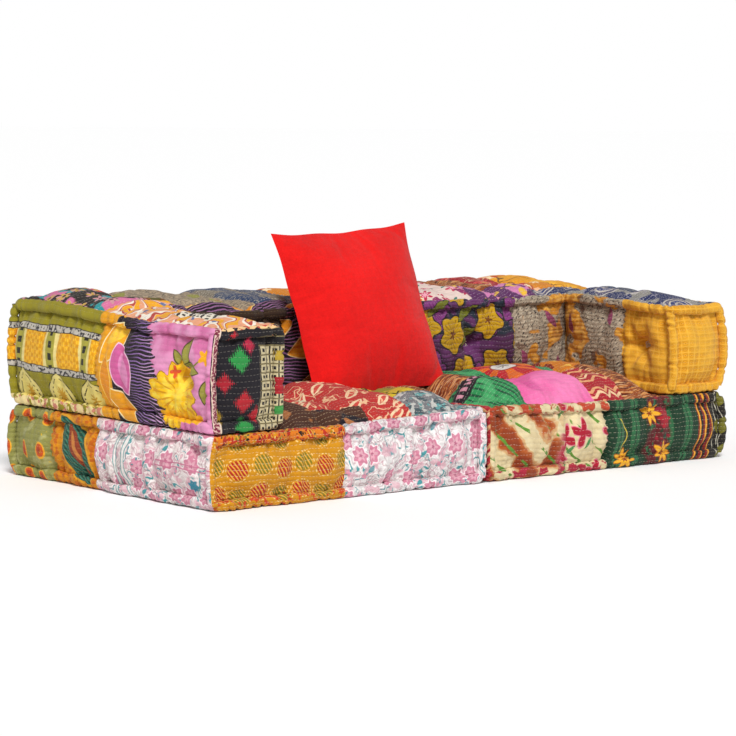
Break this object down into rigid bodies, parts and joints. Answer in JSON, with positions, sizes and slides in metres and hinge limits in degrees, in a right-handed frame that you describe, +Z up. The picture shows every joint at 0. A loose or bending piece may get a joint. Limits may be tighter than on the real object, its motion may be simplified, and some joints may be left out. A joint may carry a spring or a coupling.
{
  "type": "modular pouf sofa",
  "caption": "Low modular floor sofa: square tufted patchwork mattresses, L-shaped corner bolsters as arms and back, and a plain square scatter cushion.",
  "frame": {"origin": "on the floor, under the middle of the sofa", "axes": "+Z up, +X along the sofa to the right of a person who faces it, +Y from the front to the back; the front faces -Y"},
  "size_m": [1.9992, 0.9992, 0.7433],
  "materials": {
    "patchwork_cloth": "matte quilted cotton patchwork in many colours",
    "lining_cloth": "matte plain cotton",
    "cotton_filling": "matte cotton wadding",
    "twine": "matte cotton twine",
    "red_cloth": "matte plain woven cotton"
  },
  "bodies": {
    "left_seat": {"left_seat_top_panel": "patchwork_cloth", "left_seat_side_panels": "patchwork_cloth", "left_seat_bottom_panel": "lining_cloth", "left_seat_top_edge_roll": "patchwork_cloth", "left_seat_bottom_edge_roll": "patchwork_cloth", "left_seat_corner_rolls": "patchwork_cloth", "left_seat_cotton_filling": "cotton_filling", "left_seat_tufting_ties": "twine"},
    "right_seat": {"right_seat_top_panel": "patchwork_cloth", "right_seat_side_panels": "patchwork_cloth", "right_seat_bottom_panel": "lining_cloth", "right_seat_top_edge_roll": "patchwork_cloth", "right_seat_bottom_edge_roll": "patchwork_cloth", "right_seat_corner_rolls": "patchwork_cloth", "right_seat_cotton_filling": "cotton_filling", "right_seat_tufting_ties": "twine"},
    "left_bolster": {"left_bolster_top_panel": "patchwork_cloth", "left_bolster_side_panels": "patchwork_cloth", "left_bolster_bottom_panel": "lining_cloth", "left_bolster_top_edge_roll": "patchwork_cloth", "left_bolster_bottom_edge_roll": "patchwork_cloth", "left_bolster_corner_rolls": "patchwork_cloth", "left_bolster_cotton_filling": "cotton_filling", "left_bolster_tufting_ties": "twine"},
    "right_bolster": {"right_bolster_top_panel": "patchwork_cloth", "right_bolster_side_panels": "patchwork_cloth", "right_bolster_bottom_panel": "lining_cloth", "right_bolster_top_edge_roll": "patchwork_cloth", "right_bolster_bottom_edge_roll": "patchwork_cloth", "right_bolster_corner_rolls": "patchwork_cloth", "right_bolster_cotton_filling": "cotton_filling", "right_bolster_tufting_ties": "twine"},
    "scatter_cushion": {"cushion_front_panel": "red_cloth", "cushion_back_panel": "red_cloth", "cushion_insert": "cotton_filling"}
  },
  "joints": [
    {"name": "right_seat_slide", "type": "slide", "parent": "left_seat", "child": "right_seat", "axis": [1, 0, 0], "range_m": [0, 0.4]},
    {"name": "left_bolster_slide", "type": "slide", "parent": "left_seat", "child": "left_bolster", "axis": [0, 1, 0], "range_m": [0, 0.5]},
    {"name": "right_bolster_slide", "type": "slide", "parent": "right_seat", "child": "right_bolster", "axis": [0, 1, 0], "range_m": [0, 0.5]},
    {"name": "cushion_lift", "type": "slide", "parent": "left_seat", "child": "scatter_cushion", "axis": [0, 0, 1], "range_m": [0, 0.4]}
  ]
}
